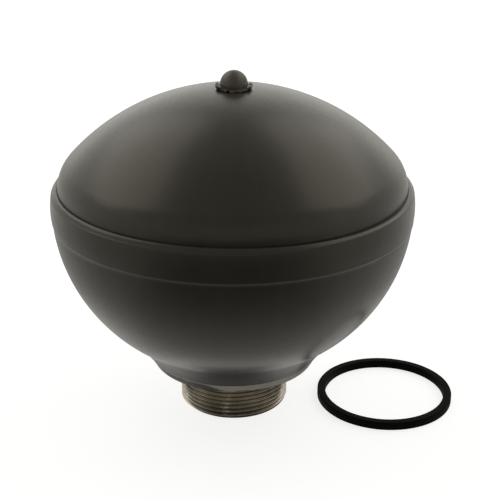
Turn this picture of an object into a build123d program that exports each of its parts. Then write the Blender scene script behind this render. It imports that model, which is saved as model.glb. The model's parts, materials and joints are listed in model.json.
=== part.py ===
from build123d import *

import os
from math import acos, asin, atan2, degrees, sqrt

# Pressure accumulator of a hydropneumatic suspension, in millimetres.
# The origin is the middle of the neck's lower end, +Z runs up the symmetry axis to the fill ball,
# and the sphere stands on its neck. The seal ring lies beside it on the same surface.

os.makedirs("parts", exist_ok=True)

# Clearances
fit = 0.05  # radial play of pieces that locate in each other
seat_gap = 0.2  # the resting button's height above its seat
film = 0.3  # gap between the resting diaphragm and the bowl

# Neck, turned in one piece with its collar and spigot
neck_r = 18.0
neck_edge = 0.6
relief_depth = 1.1
relief_height = 2.2
collar_z = 15.2
collar_r = 28.6  # the upper edge of the collar's wall
collar_lean = 1.7  # the wall's lower edge, in from its upper edge
collar_wall = 3.0
flare_r = 35.4  # where the collar's flared top meets the bowl
collar_height = 11.0  # from the collar's underside to that meeting
spigot_r = 20.0
spigot_rise = 1.0  # the spigot's end above the bowl's inside
spigot_edge = 0.8
bore_r = 13.0
port_r = 9.5
bore_shoulder_z = 17.0
bore_edge = 0.8
ring_groove_depth = 0.9

# Lower bowl: one arc whose centre stands a little off the axis
wall = 4.0
bowl_radius = 55.7
bowl_offset = 2.3
crease_drop = 4.5  # the rim's lower crease, below the arc's centre
ledge_drop = 5.0  # the ledge inside the rim, below the arc's centre

# Rim of the bowl, thinned, bulged and rolled over the upper shell's shoulder
rim_wall = 1.3
rim_height = 10.6
crease_stand = 0.25  # the rim's foot, out from the bowl
bulge = 0.5
bulge_height = 4.2
bevel_height = 1.4
lip_height = 1.9
lip_stand = 0.4  # the lip's outer edge, out from the rim's inside

# Upper shell: crown arc about the axis, knuckle arc, short skirt and shoulder
crown_radius = 71.8
knuckle_radius = 12.5
skirt_height = 1.2
shoulder_width = 0.65

# Gas fill hole and the ball welded over it
fill_hole_r = 3.0
ball_r = 4.35
ball_rise = 1.2  # the ball's centre above the dome's top
flash_width = 1.8
flash_height = 0.9

# Diaphragm and the ring that clamps its bead
membrane = 2.0
bead_height = 3.6
clamp_sheet = 1.2
clamp_drop = 2.0  # the clamp ring's lower end, below the ledge

# Button in the diaphragm's middle
disc_r = 15.0
disc_height = 2.0
disc_edge = 0.6
washer_r = 10.0
washer_height = 1.5
rivet_r = 3.0
rivet_head_stand = 2.0
rivet_head_height = 1.0
rivet_dome_height = 1.6

# Damper
damper_height = 6.0
pin_r = 3.0
bleed_r = 0.75
pin_head_stand = 1.4
pin_head_height = 1.8
nut_width = 10.0
nut_height = 3.0
pin_end = 0.5  # the pin's length below the nut
passage_r = 1.3
passage_count = 4
passage_inset = 2.9  # the passages' circle, in from the port's wall
pocket_width = 3.2
pocket_depth = 1.5
pocket_inset = 1.8  # the lower pockets' ends, in from the bore's wall
shim_height = 0.3
shim_count = 3
shim_play = 0.9  # the widest shim, in from the port's wall
shim_step = 1.4
spacer_stand = 1.2
spacer_height = 0.6
backing_inset = 2.1
backing_height = 1.0
circlip_height = 1.2
circlip_width = 1.9
circlip_gap = 7.0
circlip_lug_r = 1.9
circlip_hole_r = 0.7

# Seal ring, lying on the right
seal_x = 51.5
seal_y = -2.5
seal_outer_r = 22.85
seal_section = 2.7
seal_edge = 0.25


def arc_height(radius, centre_z, offset, r):
    """Height of the lower half of an arc at distance r from the axis."""
    return centre_z - sqrt(radius**2 - (r - offset) ** 2)


def arc_reach(radius, centre_z, offset, z):
    """Distance from the axis of an arc at height z."""
    return offset + sqrt(radius**2 - (z - centre_z) ** 2)


def height_angle(radius, centre_z, z):
    """Angle at an arc's centre of its point at height z, above the horizontal."""
    return degrees(asin((z - centre_z) / radius))


def reach_angle(radius, offset, r):
    """Angle at an arc's centre of its lower point at distance r from the axis."""
    return -degrees(acos((r - offset) / radius))


# The bowl sits on the collar's flared top
girth_z = collar_z + collar_height + sqrt(bowl_radius**2 - (flare_r - bowl_offset) ** 2)
bowl_centre = (bowl_offset, girth_z)
bowl_inner = bowl_radius - wall
bowl_hole_turn = reach_angle(bowl_radius, bowl_offset, spigot_r)
spigot_top_z = arc_height(bowl_inner, girth_z, bowl_offset, spigot_r) + spigot_rise

# Rim, and the upper shell's flange inside it
crease_z = girth_z - crease_drop
ledge_z = girth_z - ledge_drop
crease_r = arc_reach(bowl_radius, girth_z, bowl_offset, crease_z)
rim_inner_r = crease_r - rim_wall
rim_top_z = crease_z + rim_height
shoulder_z = rim_top_z - lip_height
flange_r = rim_inner_r - fit
clamp_bottom_z = ledge_z - clamp_drop
clamp_top_z = ledge_z + bead_height + clamp_sheet
skirt_r = flange_r - shoulder_width
skirt_inner_r = skirt_r - wall
shoulder_top_z = shoulder_z + shoulder_width
lip_r = skirt_r + fit

# Upper shell's arcs
knuckle_centre = (skirt_r - knuckle_radius, shoulder_z + skirt_height)
crown_z = knuckle_centre[1] - sqrt((crown_radius - knuckle_radius) ** 2 - knuckle_centre[0] ** 2)
crown_centre = (0, crown_z)
crown_top_z = crown_z + crown_radius
knuckle_turn = degrees(atan2(knuckle_centre[1] - crown_z, knuckle_centre[0]))
crown_hole_turn = degrees(acos(fill_hole_r / (crown_radius - wall)))

# Where the ball meets the dome, and where the fill hole starts under it
ball_z = crown_top_z + ball_rise
ball_seat_z = (crown_radius**2 - ball_r**2 + ball_z**2 - crown_z**2) / (2 * (ball_z - crown_z))
ball_seat_r = sqrt(ball_r**2 - (ball_z - ball_seat_z) ** 2)
ball_hole_z = ball_z - sqrt(ball_r**2 - fill_hole_r**2)
ball_seat_turn = degrees(atan2(ball_seat_z - crown_z, ball_seat_r))
ball_seat_angle = degrees(atan2(ball_seat_z - ball_z, ball_seat_r))
ball_hole_angle = degrees(atan2(ball_hole_z - ball_z, fill_hole_r))
flash_r = ball_seat_r + flash_width
flash_turn = degrees(acos(flash_r / crown_radius))

# Diaphragm and button
membrane_outer = bowl_inner - film
membrane_inner = membrane_outer - membrane
clamp_outer_r = arc_reach(membrane_inner, girth_z, bowl_offset, clamp_bottom_z) - fit
disc_bottom_z = spigot_top_z + seat_gap
disc_top_z = disc_bottom_z + disc_height
membrane_top_z = disc_top_z + membrane
washer_top_z = membrane_top_z + washer_height
rivet_head_r = rivet_r + rivet_head_stand

# Damper
body_bottom_z = bore_shoulder_z - damper_height
passage_ring_r = port_r - passage_inset
pocket_start = passage_ring_r - pocket_width / 2
circlip_top_z = body_bottom_z - fit
circlip_outer_r = bore_r + ring_groove_depth - fit
circlip_inner_r = circlip_outer_r - circlip_width


with BuildPart() as lower_shell:
    with BuildSketch(Plane.XZ):
        with BuildLine():
            crease_turn = height_angle(bowl_radius, girth_z, crease_z)
            outside = CenterArc(bowl_centre, bowl_radius, bowl_hole_turn, crease_turn - bowl_hole_turn)
            step = Line(outside @ 1, (crease_r + crease_stand, crease_z))
            band = ThreePointArc(
                step @ 1,
                (crease_r + bulge, crease_z + bulge_height),
                (crease_r, rim_top_z - bevel_height),
            )
            ledge_turn = height_angle(bowl_inner, girth_z, ledge_z)
            inner_hole_turn = reach_angle(bowl_inner, bowl_offset, spigot_r)
            inside = CenterArc(bowl_centre, bowl_inner, ledge_turn, inner_hole_turn - ledge_turn)
            Polyline(
                band @ 1,
                (rim_inner_r + lip_stand, rim_top_z),
                (lip_r, rim_top_z),
                (lip_r, shoulder_top_z + fit),
                (rim_inner_r, shoulder_z + fit),
                (rim_inner_r, ledge_z),
                inside @ 0,
            )
            Line(inside @ 1, outside @ 0)
        make_face()
    revolve(axis=Axis.Z)
lower_shell.part.label = "lower_shell"
export_step(lower_shell.part, "parts/lower_shell.step")


with BuildPart() as upper_shell:
    with BuildSketch(Plane.XZ):
        with BuildLine():
            knuckle = CenterArc(knuckle_centre, knuckle_radius, 0, knuckle_turn)
            crown = CenterArc(crown_centre, crown_radius, knuckle_turn, ball_seat_turn - knuckle_turn)
            CenterArc((0, ball_z), ball_r, ball_seat_angle, ball_hole_angle - ball_seat_angle)
            under_turn = knuckle_turn - crown_hole_turn
            crown_under = CenterArc(crown_centre, crown_radius - wall, crown_hole_turn, under_turn)
            Line((fill_hole_r, ball_hole_z), crown_under @ 0)
            knuckle_under = CenterArc(knuckle_centre, knuckle_radius - wall, knuckle_turn, -knuckle_turn)
            Polyline(
                knuckle_under @ 1,
                (skirt_inner_r, clamp_top_z),
                (flange_r, clamp_top_z),
                (flange_r, shoulder_z),
                (skirt_r, shoulder_top_z),
                knuckle @ 0,
            )
        make_face()
    revolve(axis=Axis.Z)
upper_shell.part.label = "upper_shell"
export_step(upper_shell.part, "parts/upper_shell.step")


# The ball and the metal squeezed out round it in welding are one piece.
with BuildPart() as fill_ball:
    with BuildSketch(Plane.XZ):
        with BuildLine():
            foot = CenterArc(crown_centre, crown_radius, flash_turn, ball_seat_turn - flash_turn)
            under = CenterArc((0, ball_z), ball_r, ball_seat_angle, -90 - ball_seat_angle)
            flash_top_z = (foot @ 1).Y + flash_height
            flash_angle = height_angle(ball_r, ball_z, flash_top_z)
            over = CenterArc((0, ball_z), ball_r, 90, flash_angle - 90)
            ThreePointArc(
                over @ 1,
                ((over @ 1).X + (flash_r - (over @ 1).X) / 2, flash_top_z - flash_height / 4),
                foot @ 0,
            )
            Line(under @ 1, over @ 0)
        make_face()
    revolve(axis=Axis.Z)
fill_ball.part.label = "fill_ball"
export_step(fill_ball.part, "parts/fill_ball.step")


with BuildPart() as neck_boss:
    with BuildSketch(Plane.XZ):
        with BuildLine():
            flare_turn = reach_angle(bowl_radius, bowl_offset, flare_r)
            weld_face = CenterArc(bowl_centre, bowl_radius, bowl_hole_turn, flare_turn - bowl_hole_turn)
            Polyline(
                weld_face @ 1,
                (collar_r, collar_z + collar_wall),
                (collar_r - collar_lean, collar_z),
                (neck_r - relief_depth, collar_z),
                (neck_r - relief_depth, collar_z - relief_height),
                (neck_r, collar_z - relief_height - relief_depth),
                (neck_r, neck_edge),
                (neck_r - neck_edge, 0),
                (bore_r + bore_edge, 0),
                (bore_r, bore_edge),
                (bore_r, circlip_top_z - circlip_height),
                (bore_r + ring_groove_depth, circlip_top_z - circlip_height),
                (bore_r + ring_groove_depth, circlip_top_z + fit),
                (bore_r, circlip_top_z + fit),
                (bore_r, bore_shoulder_z),
                (port_r, bore_shoulder_z),
                (port_r, spigot_top_z - bore_edge),
                (port_r + bore_edge, spigot_top_z),
                (spigot_r - spigot_edge, spigot_top_z),
                (spigot_r, spigot_top_z - spigot_edge),
                weld_face @ 0,
            )
        make_face()
    revolve(axis=Axis.Z)
neck_boss.part.label = "neck_boss"
export_step(neck_boss.part, "parts/neck_boss.step")


with BuildPart() as diaphragm:
    with BuildSketch(Plane.XZ):
        with BuildLine():
            low_turn = height_angle(membrane_outer, girth_z, disc_top_z)
            high_turn = height_angle(membrane_outer, girth_z, ledge_z)
            fluid_side = CenterArc(bowl_centre, membrane_outer, low_turn, high_turn - low_turn)
            clamp_turn = height_angle(membrane_inner, girth_z, clamp_bottom_z)
            flat_turn = height_angle(membrane_inner, girth_z, membrane_top_z)
            gas_side = CenterArc(bowl_centre, membrane_inner, clamp_turn, flat_turn - clamp_turn)
            Polyline(
                fluid_side @ 1,
                (rim_inner_r - fit, ledge_z),
                (rim_inner_r - fit, ledge_z + bead_height),
                (clamp_outer_r + fit, ledge_z + bead_height),
                gas_side @ 0,
            )
            Polyline(
                gas_side @ 1,
                (rivet_r + fit, membrane_top_z),
                (rivet_r + fit, disc_top_z),
                fluid_side @ 0,
            )
        make_face()
    revolve(axis=Axis.Z)
diaphragm.part.label = "diaphragm"
export_step(diaphragm.part, "parts/diaphragm.step")


with BuildPart() as clamp_ring:
    with BuildSketch(Plane.XZ):
        with BuildLine():
            Polyline(
                (clamp_outer_r, clamp_bottom_z),
                (clamp_outer_r, ledge_z + bead_height),
                (flange_r, ledge_z + bead_height),
                (flange_r, clamp_top_z),
                (clamp_outer_r - clamp_sheet, clamp_top_z),
                (clamp_outer_r - clamp_sheet, clamp_bottom_z),
                close=True,
            )
        make_face()
    revolve(axis=Axis.Z)
clamp_ring.part.label = "clamp_ring"
export_step(clamp_ring.part, "parts/clamp_ring.step")


with BuildPart() as button_disc:
    with BuildSketch(Plane.XZ):
        with BuildLine():
            Polyline(
                (rivet_r + fit, disc_top_z),
                (rivet_r + fit, disc_bottom_z + rivet_head_height),
                (rivet_head_r + fit, disc_bottom_z + rivet_head_height),
                (rivet_head_r + fit, disc_bottom_z),
                (disc_r - disc_edge, disc_bottom_z),
                (disc_r, disc_bottom_z + disc_edge),
                (disc_r, disc_top_z),
                close=True,
            )
        make_face()
    revolve(axis=Axis.Z)
button_disc.part.label = "button_disc"
export_step(button_disc.part, "parts/button_disc.step")


with BuildPart() as button_washer:
    with BuildSketch(Plane.XY.offset(membrane_top_z)):
        Circle(washer_r)
        Circle(rivet_r + fit, mode=Mode.SUBTRACT)
    extrude(amount=washer_height)
    fillet(button_washer.edges().sort_by(Axis.Z)[-2:].sort_by(SortBy.RADIUS)[-1], washer_height / 3)
button_washer.part.label = "button_washer"
export_step(button_washer.part, "parts/button_washer.step")


with BuildPart() as button_rivet:
    with BuildSketch(Plane.XZ):
        with BuildLine():
            Polyline(
                (0, washer_top_z + rivet_dome_height),
                (0, disc_bottom_z),
                (rivet_head_r, disc_bottom_z),
                (rivet_head_r, disc_bottom_z + rivet_head_height),
                (rivet_r, disc_bottom_z + rivet_head_height),
                (rivet_r, washer_top_z),
                (rivet_head_r, washer_top_z),
            )
            RadiusArc(
                (rivet_head_r, washer_top_z),
                (0, washer_top_z + rivet_dome_height),
                -(rivet_head_r**2 + rivet_dome_height**2) / (2 * rivet_dome_height),
            )
        make_face()
    revolve(axis=Axis.Z)
button_rivet.part.label = "button_rivet"
export_step(button_rivet.part, "parts/button_rivet.step")


# Passages open upwards under the bump shims and downwards under the rebound shims. The other end of
# each passage starts in a milled pocket that runs out past the shims.
with BuildPart() as damper_body:
    with BuildSketch(Plane.XY.offset(body_bottom_z)):
        Circle(bore_r - fit)
        Circle(pin_r + fit, mode=Mode.SUBTRACT)
        with PolarLocations(passage_ring_r, 2 * passage_count):
            Circle(passage_r, mode=Mode.SUBTRACT)
    extrude(amount=damper_height)
    pocket_end = bore_r - pocket_inset
    with BuildSketch(Plane.XY.offset(body_bottom_z)):
        with PolarLocations((pocket_start + pocket_end) / 2, passage_count):
            SlotOverall(pocket_end - pocket_start, pocket_width)
    extrude(amount=pocket_depth, mode=Mode.SUBTRACT)
    upper_end = port_r - fit
    with BuildSketch(Plane.XY.offset(bore_shoulder_z)):
        with PolarLocations((pocket_start + upper_end) / 2, passage_count, start_angle=180 / passage_count):
            SlotOverall(upper_end - pocket_start, pocket_width)
    extrude(amount=-pocket_depth, mode=Mode.SUBTRACT)
damper_body.part.label = "damper_body"
export_step(damper_body.part, "parts/damper_body.step")


def flat_ring(name, outer_r, bottom_z, height):
    """A flat disc with the pin's hole, written as a piece of its own."""
    with BuildPart() as ring:
        with BuildSketch(Plane.XY.offset(bottom_z)):
            Circle(outer_r)
            Circle(pin_r + fit, mode=Mode.SUBTRACT)
        extrude(amount=height)
    ring.part.label = name
    export_step(ring.part, f"parts/{name}.step")


# Bump stack upwards from the damper body, rebound stack downwards
bump_z = bore_shoulder_z
rebound_z = body_bottom_z
stack = [(f"shim_{n + 1}", port_r - shim_play - n * shim_step, shim_height) for n in range(shim_count)]
stack.append(("spacer", pin_r + spacer_stand, spacer_height))
stack.append(("backing", port_r - backing_inset, backing_height))
for name, ring_r, ring_height in stack:
    flat_ring(f"bump_{name}", ring_r, bump_z, ring_height)
    bump_z += ring_height
    rebound_z -= ring_height
    flat_ring(f"rebound_{name}", ring_r, rebound_z, ring_height)


with BuildPart() as damper_pin:
    pin_bottom_z = rebound_z - nut_height - pin_end
    with BuildSketch(Plane.XY.offset(pin_bottom_z)):
        Circle(pin_r)
        Circle(bleed_r, mode=Mode.SUBTRACT)
    extrude(amount=bump_z + pin_head_height - pin_bottom_z)
    with BuildSketch(Plane.XY.offset(bump_z)):
        Circle(pin_r + pin_head_stand)
        Circle(bleed_r, mode=Mode.SUBTRACT)
    extrude(amount=pin_head_height)
damper_pin.part.label = "damper_pin"
export_step(damper_pin.part, "parts/damper_pin.step")


with BuildPart() as damper_nut:
    with BuildSketch(Plane.XY.offset(rebound_z - nut_height)):
        RegularPolygon(nut_width / 2, 6, major_radius=False)
        Circle(pin_r + fit, mode=Mode.SUBTRACT)
    extrude(amount=nut_height)
damper_nut.part.label = "damper_nut"
export_step(damper_nut.part, "parts/damper_nut.step")


with BuildPart() as damper_circlip:
    lug_angle = degrees(asin((circlip_gap / 2 + circlip_lug_r) / circlip_inner_r))
    with BuildSketch(Plane.XY.offset(circlip_top_z - circlip_height)):
        Circle(circlip_outer_r)
        Circle(circlip_inner_r, mode=Mode.SUBTRACT)
        with Locations((circlip_outer_r, 0)):
            Rectangle(2 * circlip_outer_r, circlip_gap, mode=Mode.SUBTRACT)
        with PolarLocations(circlip_inner_r, 2, start_angle=-lug_angle, angular_range=4 * lug_angle):
            Circle(circlip_lug_r)
            Circle(circlip_hole_r, mode=Mode.SUBTRACT)
    extrude(amount=circlip_height)
damper_circlip.part.label = "damper_circlip"
export_step(damper_circlip.part, "parts/damper_circlip.step")


with BuildPart() as sealing_ring:
    with BuildSketch(Plane.XZ):
        with Locations((seal_outer_r - seal_section / 2, seal_section / 2)):
            RectangleRounded(seal_section, seal_section, seal_edge)
    revolve(axis=Axis.Z)
sealing_ring.part.label = "sealing_ring"
sealing_ring.part.locate(Location((seal_x, seal_y, 0)))
export_step(sealing_ring.part, "parts/sealing_ring.step")
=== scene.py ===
import json
import math

import bmesh
import bpy
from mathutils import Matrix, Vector, noise


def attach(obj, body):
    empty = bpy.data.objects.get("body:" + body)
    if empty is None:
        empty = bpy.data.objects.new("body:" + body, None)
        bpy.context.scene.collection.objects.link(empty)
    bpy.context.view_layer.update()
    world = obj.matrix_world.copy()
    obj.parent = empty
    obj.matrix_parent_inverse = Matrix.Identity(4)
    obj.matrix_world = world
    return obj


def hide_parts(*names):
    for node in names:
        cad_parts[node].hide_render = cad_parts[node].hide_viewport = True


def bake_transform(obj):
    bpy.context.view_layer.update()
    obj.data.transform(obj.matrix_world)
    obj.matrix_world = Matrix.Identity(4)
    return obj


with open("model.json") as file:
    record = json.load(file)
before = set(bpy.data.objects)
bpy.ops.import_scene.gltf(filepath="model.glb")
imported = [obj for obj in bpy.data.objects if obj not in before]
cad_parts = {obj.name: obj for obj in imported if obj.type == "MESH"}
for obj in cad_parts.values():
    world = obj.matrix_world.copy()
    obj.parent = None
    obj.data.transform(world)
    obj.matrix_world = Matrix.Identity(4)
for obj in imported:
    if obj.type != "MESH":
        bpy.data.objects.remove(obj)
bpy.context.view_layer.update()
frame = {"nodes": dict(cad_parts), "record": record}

MM = 0.001
TURN = 2 * math.pi

# Sizes of the CAD pieces that the dressed pieces stand for, in millimetres
FIT = 0.05
NECK_R = 18.0
NECK_EDGE = 0.6
RELIEF_R = 16.9
RELIEF_Z = 13.0
COLLAR_Z = 15.2
COLLAR_R = 28.6
COLLAR_LEAN = 1.7
COLLAR_WALL_Z = COLLAR_Z + 3.0
FLARE_R = 35.4
FLARE_TOP_Z = COLLAR_Z + 11.0
SPIGOT_R = 20.0
BORE_R = 13.0
PORT_R = 9.5
BORE_SHOULDER_Z = 17.0
GROOVE = (9.75, 11.0, 0.9)
WALL = 4.0
BOWL_R = 55.7
BOWL_OFFSET = 2.3
CROWN_R = 71.8
KNUCKLE_R = 12.5
BALL_R = 4.35
FILL_HOLE_R = 3.0

GIRTH_Z = FLARE_TOP_Z + math.sqrt(BOWL_R**2 - (FLARE_R - BOWL_OFFSET) ** 2)
CREASE_Z = GIRTH_Z - 4.5
LEDGE_Z = GIRTH_Z - 5.0
CREASE_R = BOWL_OFFSET + math.sqrt(BOWL_R**2 - (CREASE_Z - GIRTH_Z) ** 2)
RIM_INNER_R = CREASE_R - 1.3
RIM_TOP_Z = CREASE_Z + 10.6
SHOULDER_Z = RIM_TOP_Z - 1.9
FLANGE_R = RIM_INNER_R - FIT
SKIRT_R = FLANGE_R - 0.65
CLAMP_TOP_Z = LEDGE_Z + 4.8
KNUCKLE_C = (SKIRT_R - KNUCKLE_R, SHOULDER_Z + 1.2)
CROWN_Z = KNUCKLE_C[1] - math.sqrt((CROWN_R - KNUCKLE_R) ** 2 - KNUCKLE_C[0] ** 2)
CROWN_TOP_Z = CROWN_Z + CROWN_R
BALL_Z = CROWN_TOP_Z + 1.2
KNUCKLE_TURN = math.degrees(math.atan2(KNUCKLE_C[1] - CROWN_Z, KNUCKLE_C[0]))


def bowl_height(radius, r):
    """Height of the bowl's arc of that radius at distance r from the axis."""
    return GIRTH_Z - math.sqrt(radius**2 - (r - BOWL_OFFSET) ** 2)


def dome_height(r):
    return CROWN_Z + math.sqrt(CROWN_R**2 - r**2)


SPIGOT_TOP_Z = bowl_height(BOWL_R - WALL, SPIGOT_R) + 1.0


# Paths of (r, z) points in millimetres
def arc(centre, radius, start, end, steps):
    """Points along an arc, its angles in degrees."""
    turns = [math.radians(start + (end - start) * n / steps) for n in range(steps + 1)]
    return [(centre[0] + radius * math.cos(t), centre[1] + radius * math.sin(t)) for t in turns]


def curve(a, p, b, steps):
    """Points from a to b on the curve drawn towards p."""
    shares = [n / steps for n in range(steps + 1)]
    return [tuple(Vector(a) * (1 - t) ** 2 + Vector(p) * 2 * t * (1 - t) + Vector(b) * t**2) for t in shares]


def soft(before, corner, after, cut, steps=4):
    """A corner rounded by a curve that starts and ends at distance cut from it."""
    p = Vector(corner)
    a = p + (Vector(before) - p).normalized() * cut
    b = p + (Vector(after) - p).normalized() * cut
    return curve(a, p, b, steps)


def path(*corners):
    """A path through (r, z) or (r, z, cut) corners, those with a cut rounded."""
    made = []
    for n, corner in enumerate(corners):
        if len(corner) == 2:
            made.append(corner)
        else:
            made += soft(corners[n - 1][:2], corner[:2], corners[n + 1][:2], corner[2])
    return made


def finish_mesh(name, bm, sharp=34):
    """The piece of a finished bmesh, in metres, smooth but for its sharp edges."""
    bmesh.ops.remove_doubles(bm, verts=bm.verts, dist=1e-4)
    bmesh.ops.recalc_face_normals(bm, faces=bm.faces)
    bmesh.ops.scale(bm, vec=(MM, MM, MM), verts=bm.verts)
    mesh = bpy.data.meshes.new(name)
    bm.to_mesh(mesh)
    bm.free()
    mesh.shade_smooth()
    mesh.set_sharp_from_angle(angle=math.radians(sharp))
    piece = bpy.data.objects.new(name, mesh)
    bpy.context.scene.collection.objects.link(piece)
    return piece


def sweep_rings(bm, rings, closed):
    """Faces between rows of vertices, each row a full circle or one vertex on the axis."""
    pairs = list(zip(rings, rings[1:]))
    if closed:
        pairs.append((rings[-1], rings[0]))
    for a, b in pairs:
        for n in range(max(len(a), len(b))):
            corners = [a[n % len(a)], a[(n + 1) % len(a)], b[(n + 1) % len(b)], b[n % len(b)]]
            face = list(dict.fromkeys(corners))
            if len(face) > 2:
                bm.faces.new(face)


def revolve(bm, points, steps, closed=True, place=None):
    """Turns a path about the Z axis. place(r, z, turn) may move a point to (r, z)."""
    rings = []
    for r, z in points:
        if r < 1e-6:
            rings.append([bm.verts.new((0, 0, z))])
            continue
        ring = []
        for n in range(steps):
            turn = TURN * n / steps
            pr, pz = place(r, z, turn) if place else (r, z)
            ring.append(bm.verts.new((pr * math.cos(turn), pr * math.sin(turn), pz)))
        rings.append(ring)
    sweep_rings(bm, rings, closed)


def waves(turn, height, scale, seed):
    """Smooth noise round the axis, from about -1 to 1."""
    at = Vector((math.cos(turn) * scale, math.sin(turn) * scale, height + seed * 7.3))
    return noise.noise(at)


# Materials
def node(tree, kind, values=None, **settings):
    made = tree.nodes.new(kind)
    for key, value in settings.items():
        setattr(made, key, value)
    for key, value in (values or {}).items():
        if isinstance(value, bpy.types.NodeSocket):
            tree.links.new(value, made.inputs[key])
        else:
            made.inputs[key].default_value = value
    return made


def new_material(name):
    made = bpy.data.materials.new(name)
    made.use_nodes = True
    tree = made.node_tree
    shader = tree.nodes["Principled BSDF"]
    return made, tree, shader, node(tree, "ShaderNodeTexCoord").outputs["Object"]


def noise_of(tree, place, scale, detail=3.0, rough=0.55):
    values = {"Vector": place, "Scale": scale, "Detail": detail, "Roughness": rough}
    return node(tree, "ShaderNodeTexNoise", values).outputs["Fac"]


def mapped(tree, value, low, high, to_low, to_high, kind="LINEAR"):
    values = {"Value": value, "From Min": low, "From Max": high, "To Min": to_low, "To Max": to_high}
    return node(tree, "ShaderNodeMapRange", values, interpolation_type=kind).outputs["Result"]


def maths(tree, operation, a, b=0.0):
    return node(tree, "ShaderNodeMath", {0: a, 1: b}, operation=operation).outputs[0]


def mixed(tree, share, a, b):
    made = node(tree, "ShaderNodeMix", data_type="RGBA")
    for socket, value in ((made.inputs[0], share), (made.inputs[6], a), (made.inputs[7], b)):
        if isinstance(value, bpy.types.NodeSocket):
            tree.links.new(value, socket)
        else:
            socket.default_value = value if isinstance(value, float) else (*value, 1)
    return made.outputs[2]


def around(tree, place, stretch):
    """Coordinates whose noise runs as streaks up the sides of a turned or drawn piece."""
    flat = node(tree, "ShaderNodeVectorMath", {0: place, 1: (1, 1, 0)}, operation="MULTIPLY")
    unit = node(tree, "ShaderNodeVectorMath", {0: flat.outputs[0]}, operation="NORMALIZE")
    lift = node(tree, "ShaderNodeVectorMath", {0: place, 1: (0, 0, stretch)}, operation="MULTIPLY")
    both = node(tree, "ShaderNodeVectorMath", {0: unit.outputs[0], 1: lift.outputs[0]}, operation="ADD")
    return both.outputs[0]


def bump(tree, shader, height, distance, strength=1.0):
    made = node(tree, "ShaderNodeBump", {"Height": height, "Distance": distance, "Strength": strength})
    tree.links.new(made.outputs["Normal"], shader.inputs["Normal"])


def lacquer():
    made, tree, shader, place = new_material("satin_lacquer")
    clouds = noise_of(tree, place, 28, 5, 0.6)
    streaks = noise_of(tree, around(tree, place, 6), 9, 4, 0.65)
    both = maths(tree, "ADD", maths(tree, "MULTIPLY", clouds, 0.6), maths(tree, "MULTIPLY", streaks, 0.4))
    share = mapped(tree, both, 0.35, 0.65, 0, 1)
    tone = mixed(tree, share, (0.016, 0.015, 0.0125), (0.024, 0.0225, 0.0195))
    pit = node(tree, "ShaderNodeVectorMath", {0: place, 1: PIT}, operation="DISTANCE").outputs["Value"]
    hole = mapped(tree, pit, 0.00035, 0.0007, 1, 0, "SMOOTHSTEP")
    tone = mixed(tree, hole, tone, (0.002, 0.002, 0.0015))
    tree.links.new(tone, shader.inputs["Base Color"])
    grain = noise_of(tree, place, 700, 3, 0.6)
    rough = maths(tree, "ADD", mapped(tree, clouds, 0.3, 0.7, 0.35, 0.43), mapped(tree, grain, 0.3, 0.7, -0.03, 0.03))
    tree.links.new(rough, shader.inputs["Roughness"])
    shader.inputs["Specular IOR Level"].default_value = 0.3
    shader.inputs["Specular Tint"].default_value = (1, 0.86, 0.58, 1)
    shader.inputs["Coat Weight"].default_value = 0.5
    shader.inputs["Coat Roughness"].default_value = 0.26
    peel = maths(tree, "SUBTRACT", noise_of(tree, place, 900, 2, 0.5), maths(tree, "MULTIPLY", hole, 9.0))
    bump(tree, shader, peel, 0.00003, 0.6)
    return made


def off_axis(tree, place):
    """Distance from the Z axis."""
    flat = node(tree, "ShaderNodeVectorMath", {0: place, 1: (1, 1, 0)}, operation="MULTIPLY").outputs[0]
    return node(tree, "ShaderNodeVectorMath", {0: flat}, operation="LENGTH").outputs["Value"]


def turned(name, dark, light, rough, scale, metallic=1.0, spots=0.0, grooves=None):
    """Turned or ground steel: fine marks round the axis, with stains. grooves are two radii across which painted
    shade darkens the thread's roots, fully inside the inner one."""
    made, tree, shader, place = new_material(name)
    shader.inputs["Metallic"].default_value = metallic
    clouds = noise_of(tree, place, scale, 4, 0.6)
    marks = noise_of(tree, around(tree, place, 2600), 1.2, 3, 0.7)
    share = mapped(tree, maths(tree, "ADD", clouds, maths(tree, "MULTIPLY", marks, 0.5)), 0.5, 1.0, 0, 1)
    tone = mixed(tree, share, dark, light)
    if spots:
        stain = mapped(tree, noise_of(tree, place, scale * 6, 5, 0.7), 0.55, 0.72, 0, spots, "SMOOTHSTEP")
        tone = mixed(tree, stain, tone, (dark[0] * 0.45, dark[1] * 0.38, dark[2] * 0.3))
    if grooves:
        # Painted shade in the thread's roots, darker nearer the axis.
        painted_root_shade = mapped(tree, off_axis(tree, place), *grooves, 1, 0, "SMOOTHSTEP")
        tone = mixed(tree, painted_root_shade, tone, (dark[0] * 0.42, dark[1] * 0.39, dark[2] * 0.33))
    tree.links.new(tone, shader.inputs["Base Color"])
    tree.links.new(mapped(tree, marks, 0.25, 0.75, rough - 0.07, rough + 0.09), shader.inputs["Roughness"])
    bump(tree, shader, marks, 0.00002, 0.5)
    return made


def flank_painted_shade_material():
    """The flank under the bowl, its colour darkened to near black: painted shade under the bowl."""
    made, tree, shader, place = new_material("flank_black_painted_shade")
    shader.inputs["Specular IOR Level"].default_value = 0.34
    clouds = noise_of(tree, place, 90, 5, 0.65)
    # Painted shade: a near-black tone standing in for the shade under the bowl.
    tone = mixed(tree, mapped(tree, clouds, 0.35, 0.65, 0, 1), (0.003, 0.0028, 0.0022), (0.006, 0.0055, 0.0045))
    tree.links.new(tone, shader.inputs["Base Color"])
    tree.links.new(mapped(tree, clouds, 0.3, 0.7, 0.30, 0.40), shader.inputs["Roughness"])
    bump(tree, shader, noise_of(tree, place, 800, 3, 0.6), 0.00002, 0.5)
    return made


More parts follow.
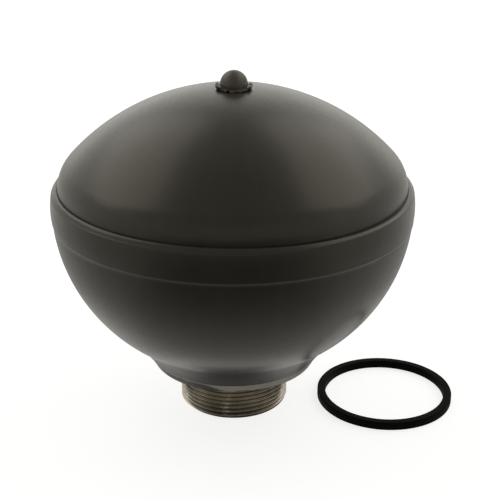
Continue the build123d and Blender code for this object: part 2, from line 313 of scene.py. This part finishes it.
def land():
    """The collar's edge, unpainted and grey, with painted shade darkening its lower part, up to a height that rises
    towards the left.
    """
    made, tree, shader, place = new_material("bare_collar_edge")
    shader.inputs["Specular IOR Level"].default_value = 0.3
    at = node(tree, "ShaderNodeSeparateXYZ", {0: place}).outputs
    clouds = noise_of(tree, place, 120, 4, 0.65)
    grey = mixed(tree, mapped(tree, clouds, 0.3, 0.7, 0, 1), (0.20, 0.187, 0.158), (0.29, 0.277, 0.245))
    # Painted shade: the edge is darkened below this height, which rises towards the left.
    edge = mapped(tree, at["X"], -0.0095, -0.002, 0.0178, 0.0155, "SMOOTHSTEP")
    ragged = maths(tree, "MULTIPLY", maths(tree, "SUBTRACT", noise_of(tree, place, 500, 3, 0.6), 0.5), 0.0012)
    above = maths(tree, "SUBTRACT", at["Z"], maths(tree, "ADD", edge, ragged))
    out_of_painted_shade = mapped(tree, above, -0.00015, 0.00025, 0, 1, "SMOOTHSTEP")
    tree.links.new(mixed(tree, out_of_painted_shade, (0.018, 0.017, 0.0145), grey), shader.inputs["Base Color"])
    tree.links.new(mapped(tree, clouds, 0.3, 0.7, 0.42, 0.52), shader.inputs["Roughness"])
    bump(tree, shader, noise_of(tree, around(tree, place, 2600), 1.2, 3, 0.7), 0.00002, 0.5)
    return made


def rubber(name, dark, light, rough, gloss):
    made, tree, shader, place = new_material(name)
    shader.inputs["Specular IOR Level"].default_value = gloss
    clouds = noise_of(tree, place, 160, 4, 0.6)
    tree.links.new(mixed(tree, mapped(tree, clouds, 0.35, 0.65, 0, 1), dark, light), shader.inputs["Base Color"])
    grain = noise_of(tree, place, 2200, 3, 0.6)
    tree.links.new(mapped(tree, clouds, 0.3, 0.7, rough - 0.06, rough + 0.08), shader.inputs["Roughness"])
    bump(tree, shader, grain, 0.00004, 0.5)
    return made


PIT = (0.0106, -0.0406, 0.0319)
LACQUER = lacquer()
BALL_STEEL = turned("darkened_ball_steel", (0.07, 0.063, 0.053), (0.12, 0.109, 0.094), 0.44, 160, 0.6, 0.7)
FLANK_PAINTED_SHADE = flank_painted_shade_material()
LAND = land()
THREAD_STEEL = turned(
    "turned_thread_steel", (0.27, 0.246, 0.20), (0.54, 0.50, 0.42), 0.25, 120, 1.0, 0.75, (0.0171, 0.0177)
)
PLAIN_STEEL = turned("machined_steel", (0.33, 0.33, 0.325), (0.55, 0.55, 0.54), 0.3, 130, 1.0, 0.2)
SPRING_STEEL = turned("blued_spring_steel", (0.10, 0.115, 0.15), (0.22, 0.23, 0.26), 0.22, 150, 1.0, 0.2)
SEAL_RUBBER = rubber("seal_rubber_black", (0.0018, 0.0020, 0.0014), (0.0034, 0.0036, 0.0027), 0.6, 0.04)
DIAPHRAGM_RUBBER = rubber("diaphragm_rubber_black", (0.008, 0.008, 0.008), (0.016, 0.016, 0.015), 0.6, 0.4)


def dress(piece, node_name, slot, *materials, body="shell"):
    for material in materials:
        piece.data.materials.append(material)
    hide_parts(node_name)
    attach(piece, body)


# Lower shell: the bowl, and the thin rim rolled over the upper shell
def make_lower_shell():
    hole = -math.degrees(math.acos((SPIGOT_R - BOWL_OFFSET) / BOWL_R))
    crease = math.degrees(math.asin((CREASE_Z - 0.35 - GIRTH_Z) / BOWL_R))
    outside = arc((BOWL_OFFSET, GIRTH_Z), BOWL_R, hole, crease, 72)
    foot = (CREASE_R + 0.30, CREASE_Z + 0.95)
    belly = (CREASE_R + 0.5, CREASE_Z + 4.2)
    edge = (CREASE_R, RIM_TOP_Z - 1.4)
    roll_in = curve(outside[-1], (CREASE_R + 0.30, CREASE_Z + 0.02), foot, 10)
    band = roll_in[1:-1] + bend(foot, belly, edge, 24)
    ledge = math.degrees(math.asin((LEDGE_Z - GIRTH_Z) / (BOWL_R - WALL)))
    inner_hole = -math.degrees(math.acos((SPIGOT_R - BOWL_OFFSET) / (BOWL_R - WALL)))
    inside = arc((BOWL_OFFSET, GIRTH_Z), BOWL_R - WALL, ledge, inner_hole, 40)
    lip_r = SKIRT_R + FIT
    rim = path(
        band[-2],
        (edge[0], edge[1], 0.40),
        (edge[0] - 0.20, edge[1] + 0.10, 0.10),
        (RIM_INNER_R + 0.4, RIM_TOP_Z, 0.70),
        (lip_r, RIM_TOP_Z, 0.16),
        (lip_r, SHOULDER_Z + 0.65 + FIT),
        (RIM_INNER_R, SHOULDER_Z + FIT),
        (RIM_INNER_R, LEDGE_Z),
        inside[0],
    )

    def roll(r, z, turn):
        """The rolled lip is lower on the right, and its foot is not quite level."""
        if r < RIM_INNER_R - 0.1 and z < RIM_TOP_Z - 0.6 or r < lip_r - 0.3:
            return r, z
        share = min(max((z - edge[1]) / 1.4, 0), 1)
        drop = 0.95 * max(math.cos(turn + math.radians(34)), 0) ** 3
        foot_share = max(1 - abs(z - CREASE_Z - 0.2) / 2.5, 0)
        tilt = 0.18 - 0.42 * math.cos(turn)
        z += share * (0.09 * min(waves(turn, 0, 4, 2), 0.0) - drop) + foot_share * tilt
        return r + 0.05 * share * waves(turn, 0, 5, 1), z

    bm = bmesh.new()
    revolve(bm, outside + band[:-2] + rim[:-1] + inside, 288, place=roll)
    return finish_mesh("lower_shell_visual", bm)


def bend(a, b, c, steps):
    """The arc through three points."""
    (ax, ay), (bx, by), (cx, cy) = a, b, c
    d = 2 * (ax * (by - cy) + bx * (cy - ay) + cx * (ay - by))
    sa, sb, sc = ax**2 + ay**2, bx**2 + by**2, cx**2 + cy**2
    x = (sa * (by - cy) + sb * (cy - ay) + sc * (ay - by)) / d
    y = (sa * (cx - bx) + sb * (ax - cx) + sc * (bx - ax)) / d
    start, end = math.atan2(ay - y, ax - x), math.atan2(cy - y, cx - x)
    return arc((x, y), math.hypot(ax - x, ay - y), math.degrees(start), math.degrees(end), steps)


def make_upper_shell():
    ball_top = math.degrees(math.acos(4.1 / CROWN_R))
    crown = arc((0, CROWN_Z), CROWN_R, KNUCKLE_TURN, ball_top, 96)
    knuckle = arc(KNUCKLE_C, KNUCKLE_R, 0, KNUCKLE_TURN, 28)
    hole = math.degrees(math.acos(FILL_HOLE_R / (CROWN_R - WALL)))
    crown_under = arc((0, CROWN_Z), CROWN_R - WALL, hole, KNUCKLE_TURN, 48)
    knuckle_under = arc(KNUCKLE_C, KNUCKLE_R - WALL, KNUCKLE_TURN, 0, 14)
    points = [
        (FLANGE_R, CLAMP_TOP_Z),
        (FLANGE_R, SHOULDER_Z),
        (SKIRT_R, SHOULDER_Z + 0.65),
        *knuckle,
        *crown[1:],
        (FILL_HOLE_R, CROWN_TOP_Z - 2.2),
        *crown_under,
        *knuckle_under[1:],
        (SKIRT_R - WALL, CLAMP_TOP_Z),
    ]
    bm = bmesh.new()
    revolve(bm, points, 288)
    return finish_mesh("upper_shell_visual", bm)


def make_fill_ball():
    """The ball and the ragged lip of metal squeezed out round its foot."""
    bm = bmesh.new()
    revolve(bm, arc((0, BALL_Z), BALL_R, -80, 89.9, 40) + [(0, BALL_Z + BALL_R)], 96, closed=False)
    root_z = dome_height(4.4)

    def ragged(r, z, turn):
        side = abs(math.cos(turn)) ** 3
        reach = 0.90 + 0.22 * side + 0.34 * waves(turn, 0, 3.2, 3) + 0.42 * waves(turn, 0, 8.5, 4)
        lift = 0.10 + 0.85 * side + 0.45 * waves(turn, 0, 3.6, 5) + 0.75 * waves(turn, 0, 9, 6)
        out = max(r - 4.2, 0) / 1.65
        reach = min(max(reach, 0.45), 1.0)
        lift = min(max(lift, -0.1), 1.15)
        new_r = 4.2 + (r - 4.2) * reach if r > 4.2 else r
        return new_r, dome_height(new_r) + (z - root_z) * (0.6 + 0.4 * reach) + 0.95 * lift * out**2

    lip = path(
        (3.9, root_z + 1.0),
        (4.42, root_z + 0.68, 0.12),
        (5.2, root_z + 0.56, 0.3),
        (5.85, root_z + 0.46, 0.14),
        (5.80, root_z + 0.04, 0.06),
        (5.1, root_z - 0.08, 0.3),
        (4.3, root_z - 0.12),
        (3.9, root_z - 0.2),
    )
    revolve(bm, lip, 192, place=ragged)
    bmesh.ops.translate(bm, vec=(0.5, 0, 0), verts=bm.verts)
    return finish_mesh("fill_ball_visual", bm, 50)


# Neck: thread M36 x 1.5, its collar and its bore
PITCH = 1.5
THREAD_ROOT = 17.08
THREAD = [(0.0, 0.0), (0.05, 0.0), (0.078, 0.05), (0.16, 0.262), (0.25, 0.495), (0.34, 0.728), (0.405, 0.885),
          (0.45, 0.92), (0.5, 0.92)]


def thread_r(phase):
    """Radius of the thread's profile at a share of its pitch, with its crest at 0."""
    phase = abs((phase + 0.5) % 1 - 0.5)
    for (p0, d0), (p1, d1) in zip(THREAD, THREAD[1:]):
        if phase <= p1:
            return NECK_R - d0 - (d1 - d0) * (phase - p0) / (p1 - p0)
    return THREAD_ROOT


def make_neck():
    bm = bmesh.new()
    steps = 240
    phases = sorted({p for p, _ in THREAD} | {round(1 - p, 4) for p, _ in THREAD if p})[:-1]
    rows = [turn + phase for turn in range(-2, 10) for phase in phases]

    def thread_point(row, n):
        z = min(max(PITCH * (row + n / steps), 0.0), RELIEF_Z)
        r = min(thread_r(z / PITCH - n / steps), NECK_R - NECK_EDGE + z, NECK_R + (RELIEF_Z - 1.1 - z))
        if z > RELIEF_Z - 0.001:
            r = RELIEF_R
        turn = TURN * n / steps
        return r * math.cos(turn), r * math.sin(turn), z

    columns = [[bm.verts.new(thread_point(row, n)) for row in rows] for n in range(steps)]
    per_turn = len(phases)
    for n in range(steps):
        a = columns[n]
        b = columns[n + 1] if n + 1 < steps else columns[0][per_turn:] + [None] * per_turn
        for m in range(len(rows) - 1):
            if b[m] and b[m + 1]:
                bm.faces.new((a[m], b[m], b[m + 1], a[m + 1]))
    bmesh.ops.remove_doubles(bm, verts=bm.verts, dist=1e-4)
    bmesh.ops.dissolve_degenerate(bm, edges=bm.edges, dist=1e-4)
    loose = [v for v in bm.verts if not v.link_faces]
    bmesh.ops.delete(bm, geom=loose, context="VERTS")
    thread_faces = len(bm.faces)

    weld = arc(
        (BOWL_OFFSET, GIRTH_Z),
        BOWL_R,
        -math.degrees(math.acos((SPIGOT_R - BOWL_OFFSET) / BOWL_R)),
        -math.degrees(math.acos((FLARE_R - BOWL_OFFSET) / BOWL_R)),
        12,
    )
    low, high, depth = GROOVE
    hollow = curve(
        (FLARE_R, FLARE_TOP_Z),
        ((FLARE_R + COLLAR_R) / 2 - 0.45, (FLARE_TOP_Z + COLLAR_WALL_Z) / 2 + 0.38),
        (COLLAR_R + 0.12, COLLAR_WALL_Z + 0.14),
        12,
    )
    body = path(
        *hollow,
        (COLLAR_R, COLLAR_WALL_Z, 0.1),
        (COLLAR_R - COLLAR_LEAN, COLLAR_Z, 0.35),
        (RELIEF_R, COLLAR_Z, 0.25),
        (RELIEF_R, RELIEF_Z),
        (THREAD_ROOT - 0.25, RELIEF_Z - 0.3),
        (THREAD_ROOT - 0.25, 0.0),
        (BORE_R + 0.8, 0.0),
        (BORE_R, 0.8),
        (BORE_R, low),
        (BORE_R + depth, low),
        (BORE_R + depth, high),
        (BORE_R, high),
        (BORE_R, BORE_SHOULDER_Z),
        (PORT_R, BORE_SHOULDER_Z),
        (PORT_R, SPIGOT_TOP_Z - 0.8),
        (PORT_R + 0.8, SPIGOT_TOP_Z),
        (SPIGOT_R - 0.8, SPIGOT_TOP_Z),
        (SPIGOT_R, SPIGOT_TOP_Z - 0.8),
    )
    revolve(bm, body[1:] + weld, 240)
    bm.faces.ensure_lookup_table()
    # Faces over the collar wall take the flank's painted shade (material 0).
    for face in bm.faces:
        middle = face.calc_center_median()
        if middle.z < COLLAR_Z - 0.05:
            face.material_index = 2
        elif middle.z > COLLAR_WALL_Z:
            face.material_index = 0
        else:
            face.material_index = 1
    piece = finish_mesh("neck_boss_visual", bm, 50)
    return piece


def make_seal():
    half = 2.7 / 2
    middle = 22.85 - half
    section = path(
        (middle, 0.0),
        (middle + half, 0.0, 0.3),
        (middle + half, 2.7, 0.34),
        (middle - half, 2.7, 0.34),
        (middle - half, 0.0, 0.3),
        (middle, 0.0),
    )[1:]

    def limp(r, z, turn):
        return r - 0.10 * abs(waves(turn, 0, 1.6, 7)), z * (1 - 0.012 * abs(waves(turn, 0, 2.2, 8)))

    bm = bmesh.new()
    revolve(bm, section, 288, place=limp)
    bmesh.ops.translate(bm, vec=(51.5, -2.5, 0), verts=bm.verts)
    return finish_mesh("sealing_ring_visual", bm)


def make_diaphragm():
    """The moulded separator, its section turned about the axis."""
    outer_r = BOWL_R - WALL - 0.3
    inner_r = outer_r - 2.0
    disc_top_z = SPIGOT_TOP_Z + 2.2
    flat_z = disc_top_z + 2.0
    clamp_z = LEDGE_Z - 2.0
    turn_of = lambda radius, z: math.degrees(math.asin((z - GIRTH_Z) / radius))
    centre = (BOWL_OFFSET, GIRTH_Z)
    fluid = arc(centre, outer_r, turn_of(outer_r, disc_top_z), turn_of(outer_r, LEDGE_Z), 60)
    gas = arc(centre, inner_r, turn_of(inner_r, clamp_z), turn_of(inner_r, flat_z), 60)
    clamp_outer_r = gas[0][0]
    points = [
        *fluid,
        (RIM_INNER_R - FIT, LEDGE_Z),
        (RIM_INNER_R - FIT, LEDGE_Z + 3.6),
        (clamp_outer_r, LEDGE_Z + 3.6),
        *gas,
        (10.2, flat_z),
        (3.05, flat_z),
        (3.05, disc_top_z),
        (15.0, disc_top_z),
    ]
    bm = bmesh.new()
    revolve(bm, points, 144)
    return finish_mesh("diaphragm_visual", bm)


dress(make_lower_shell(), "lower_shell", "shell_lacquer", LACQUER)
dress(make_upper_shell(), "upper_shell", "shell_lacquer", LACQUER)
dress(make_fill_ball(), "fill_ball", "ball_steel", BALL_STEEL)
neck = make_neck()
dress(neck, "neck_boss", "neck_steel", FLANK_PAINTED_SHADE, LAND, THREAD_STEEL)
dress(make_seal(), "sealing_ring", "seal_rubber", SEAL_RUBBER)

membrane = make_diaphragm()
membrane.data.materials.append(DIAPHRAGM_RUBBER)
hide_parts("diaphragm")
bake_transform(membrane)

FINISHES = {"plain_steel": PLAIN_STEEL, "spring_steel": SPRING_STEEL}
for part in frame["record"]["subparts"]:
    finish = FINISHES.get(part["material_slot"])
    if finish:
        carried = frame["nodes"][part["node"]]
        carried.data.materials.clear()
        carried.data.materials.append(finish)


WARM = (1.0, 0.975, 0.92)


# Floor: white to the camera, with the object's soft shadow. Reflections see its glow darker on the camera's side, as
# a dark room in front of a white sweep, with a painted shadow round the neck's foot and a painted ring of light just
# in front of it.
def make_floor():
    bm = bmesh.new()
    bmesh.ops.create_grid(bm, x_segments=1, y_segments=1, size=3000)
    bmesh.ops.translate(bm, vec=(0, 0, -0.1), verts=bm.verts)
    floor = finish_mesh("studio_floor", bm)
    made = bpy.data.materials.new("floor_white")
    made.use_nodes = True
    tree = made.node_tree
    tree.nodes.clear()
    rays = node(tree, "ShaderNodeLightPath").outputs
    place = node(tree, "ShaderNodeTexCoord").outputs["Object"]
    y = node(tree, "ShaderNodeSeparateXYZ", {0: place}).outputs["Y"]
    away = off_axis(tree, place)
    back = mapped(tree, y, -0.150, -0.045, 0, 0.52, "SMOOTHSTEP")
    back = maths(tree, "ADD", back, mapped(tree, y, -0.050, -0.010, 0, 0.22, "SMOOTHSTEP"))
    aside = mapped(tree, maths(tree, "DIVIDE", y, away), -1.0, -0.45, 0.04, 0.68, "SMOOTHSTEP")
    back = maths(tree, "MAXIMUM", back, aside)
    back = maths(tree, "MULTIPLY", back, mapped(tree, away, 0.06, 0.11, 1.0, 0.70, "SMOOTHSTEP"))
    # Painted light: a ring of glow on the floor just in front of the neck, seen in reflections.
    before = maths(
        tree,
        "MULTIPLY",
        mapped(tree, away, 0.031, 0.040, 0.30, 0.0, "SMOOTHSTEP"),
        mapped(tree, y, -0.022, -0.008, 1.0, 0.1, "SMOOTHSTEP"),
    )
    back = maths(tree, "ADD", back, before)
    back = maths(tree, "MULTIPLY", back, mapped(tree, y, 0.05, 0.2, 1.0, 1.35, "SMOOTHSTEP"))
    # Painted shadow: the glow fades out close round the front of the neck.
    painted_neck_shadow = mapped(tree, y, -0.021, -0.010, 0.02, 0.9, "SMOOTHSTEP")
    painted_neck_shadow = maths(tree, "MAXIMUM", painted_neck_shadow, mapped(tree, away, 0.0252, 0.0275, 0.0, 1.0, "SMOOTHSTEP"))
    back = maths(tree, "MULTIPLY", back, painted_neck_shadow)
    seen = maths(tree, "MAXIMUM", rays["Is Glossy Ray"], rays["Is Transmission Ray"])
    colour = mixed(tree, rays["Is Camera Ray"], (0.80, 0.80, 0.80), (0.42, 0.42, 0.42))
    colour = mixed(tree, seen, colour, (0.02, 0.02, 0.02))
    diffuse = node(tree, "ShaderNodeBsdfDiffuse", {"Color": colour})
    behind = maths(tree, "MULTIPLY", seen, back)
    glow = maths(tree, "ADD", maths(tree, "MULTIPLY", rays["Is Camera Ray"], 0.80), behind)
    tint = mixed(tree, rays["Is Camera Ray"], WARM, (1.0, 1.0, 1.0))
    light = node(tree, "ShaderNodeEmission", {"Color": tint, "Strength": glow})
    total = node(tree, "ShaderNodeAddShader", {0: diffuse.outputs[0], 1: light.outputs[0]})
    node(tree, "ShaderNodeOutputMaterial", {"Surface": total.outputs[0]})
    floor.data.materials.append(made)


def make_world():
    world = bpy.data.worlds.new("studio")
    bpy.context.scene.world = world
    world.use_nodes = True
    tree = world.node_tree
    tree.nodes.clear()
    towards = node(tree, "ShaderNodeTexCoord").outputs["Generated"]
    parts = node(tree, "ShaderNodeSeparateXYZ", {0: towards}).outputs
    side = mapped(tree, parts["Y"], -0.95, -0.1, 0.40, 0.66, "SMOOTHSTEP")
    top = mapped(tree, parts["Z"], 0.35, 0.9, 1.0, 0.44, "SMOOTHSTEP")
    back = mapped(tree, parts["Y"], 0.65, 0.95, 0, 0.52, "SMOOTHSTEP")
    level = maths(tree, "ADD", maths(tree, "MULTIPLY", side, top), back)
    camera = node(tree, "ShaderNodeLightPath").outputs["Is Camera Ray"]
    strength = mapped(tree, camera, 0, 1, level, 1.0)
    tint = mixed(tree, camera, WARM, (1.0, 1.0, 1.0))
    back = node(tree, "ShaderNodeBackground", {"Color": tint, "Strength": strength})
    node(tree, "ShaderNodeOutputWorld", {"Surface": back.outputs[0]})


def area_light(name, place, aim, size, power):
    data = bpy.data.lights.new(name, "AREA")
    data.shape = "RECTANGLE"
    data.size, data.size_y = size
    data.energy = power
    data.color = WARM
    lamp = bpy.data.objects.new(name, data)
    lamp.location = place
    lamp.rotation_euler = (Vector(aim) - Vector(place)).to_track_quat("-Z", "Y").to_euler()
    lamp.visible_camera = False
    bpy.context.scene.collection.objects.link(lamp)
    return lamp


make_floor()
make_world()
area_light("left_softbox", (-0.71, 0.39, 0.91), (0, 0, 0.05), (1.25, 0.80), 3.4)
area_light("right_softbox", (0.71, 0.39, 0.91), (0, 0, 0.05), (1.25, 0.80), 3.3)
strip = area_light("front_strip", (-0.165, -0.60, 0.14), (0, 0, 0.01), (0.02, 0.22), 0.30)
lit = bpy.data.collections.new("neck_only")
lit.objects.link(neck)
strip.light_linking.receiver_collection = lit

# Camera: solved from the photograph
view = bpy.data.cameras.new("camera")
view.sensor_width = 36
view.lens = 82.8
view.clip_start = 0.01
camera = bpy.data.objects.new("camera", view)
camera.location = (0.005487, -0.349438, 0.197285)
camera.rotation_euler = (math.radians(67.589), 0, 0)
bpy.context.scene.collection.objects.link(camera)
bpy.context.scene.camera = camera
bpy.context.scene.view_settings.view_transform = "Standard"
